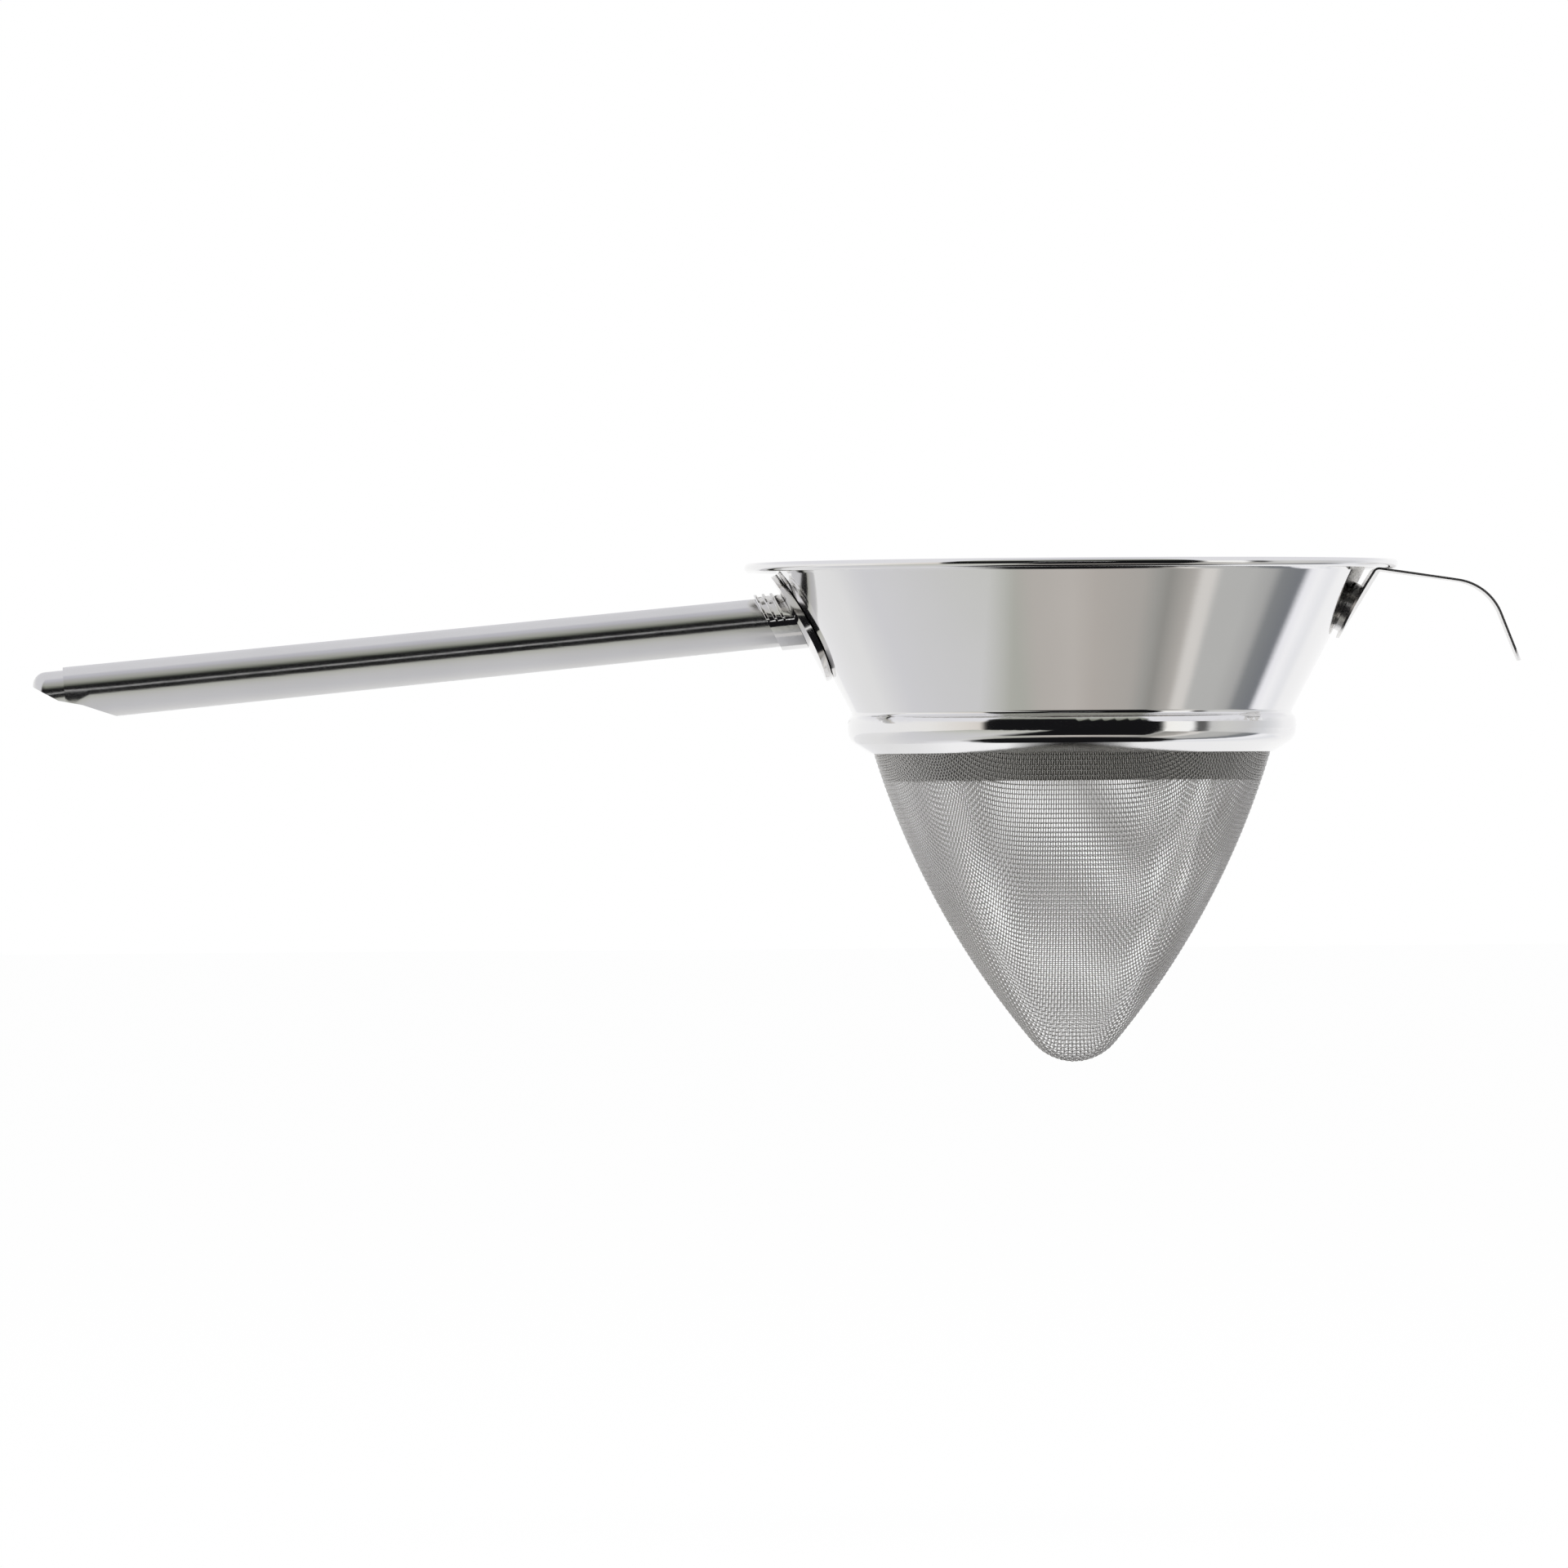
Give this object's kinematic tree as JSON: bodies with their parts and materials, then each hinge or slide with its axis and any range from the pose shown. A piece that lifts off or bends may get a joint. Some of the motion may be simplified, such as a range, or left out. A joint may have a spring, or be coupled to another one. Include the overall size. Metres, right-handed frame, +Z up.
{
  "type": "chinois strainer",
  "caption": "Conical fine-mesh strainer: flared sheet bowl with rolled rim and bead, deep cone of wire cloth, round tapered handle on a curved plate, and a bent pan hook opposite.",
  "frame": {"origin": "on the cone's axis, in the plane of the rim's top", "axes": "+Z up out of the bowl's mouth, -X along the handle, +X along the pan hook, the handle's mirror plane is y = 0"},
  "size_m": [0.4622, 0.203, 0.1555],
  "materials": {
    "polished_steel": "mirror polished",
    "satin_steel": "satin",
    "wire_cloth": "drawn wire"
  },
  "bodies": {
    "root": {"bowl": "polished_steel", "rim_wire": "polished_steel", "mesh_cone": "wire_cloth", "mesh_hem_wire": "polished_steel", "retaining_ring": "satin_steel", "handle_plate": "polished_steel", "handle_collar": "polished_steel", "handle_tube": "satin_steel", "handle_end_cap": "satin_steel", "pan_hook": "polished_steel"}
  },
  "joints": []
}
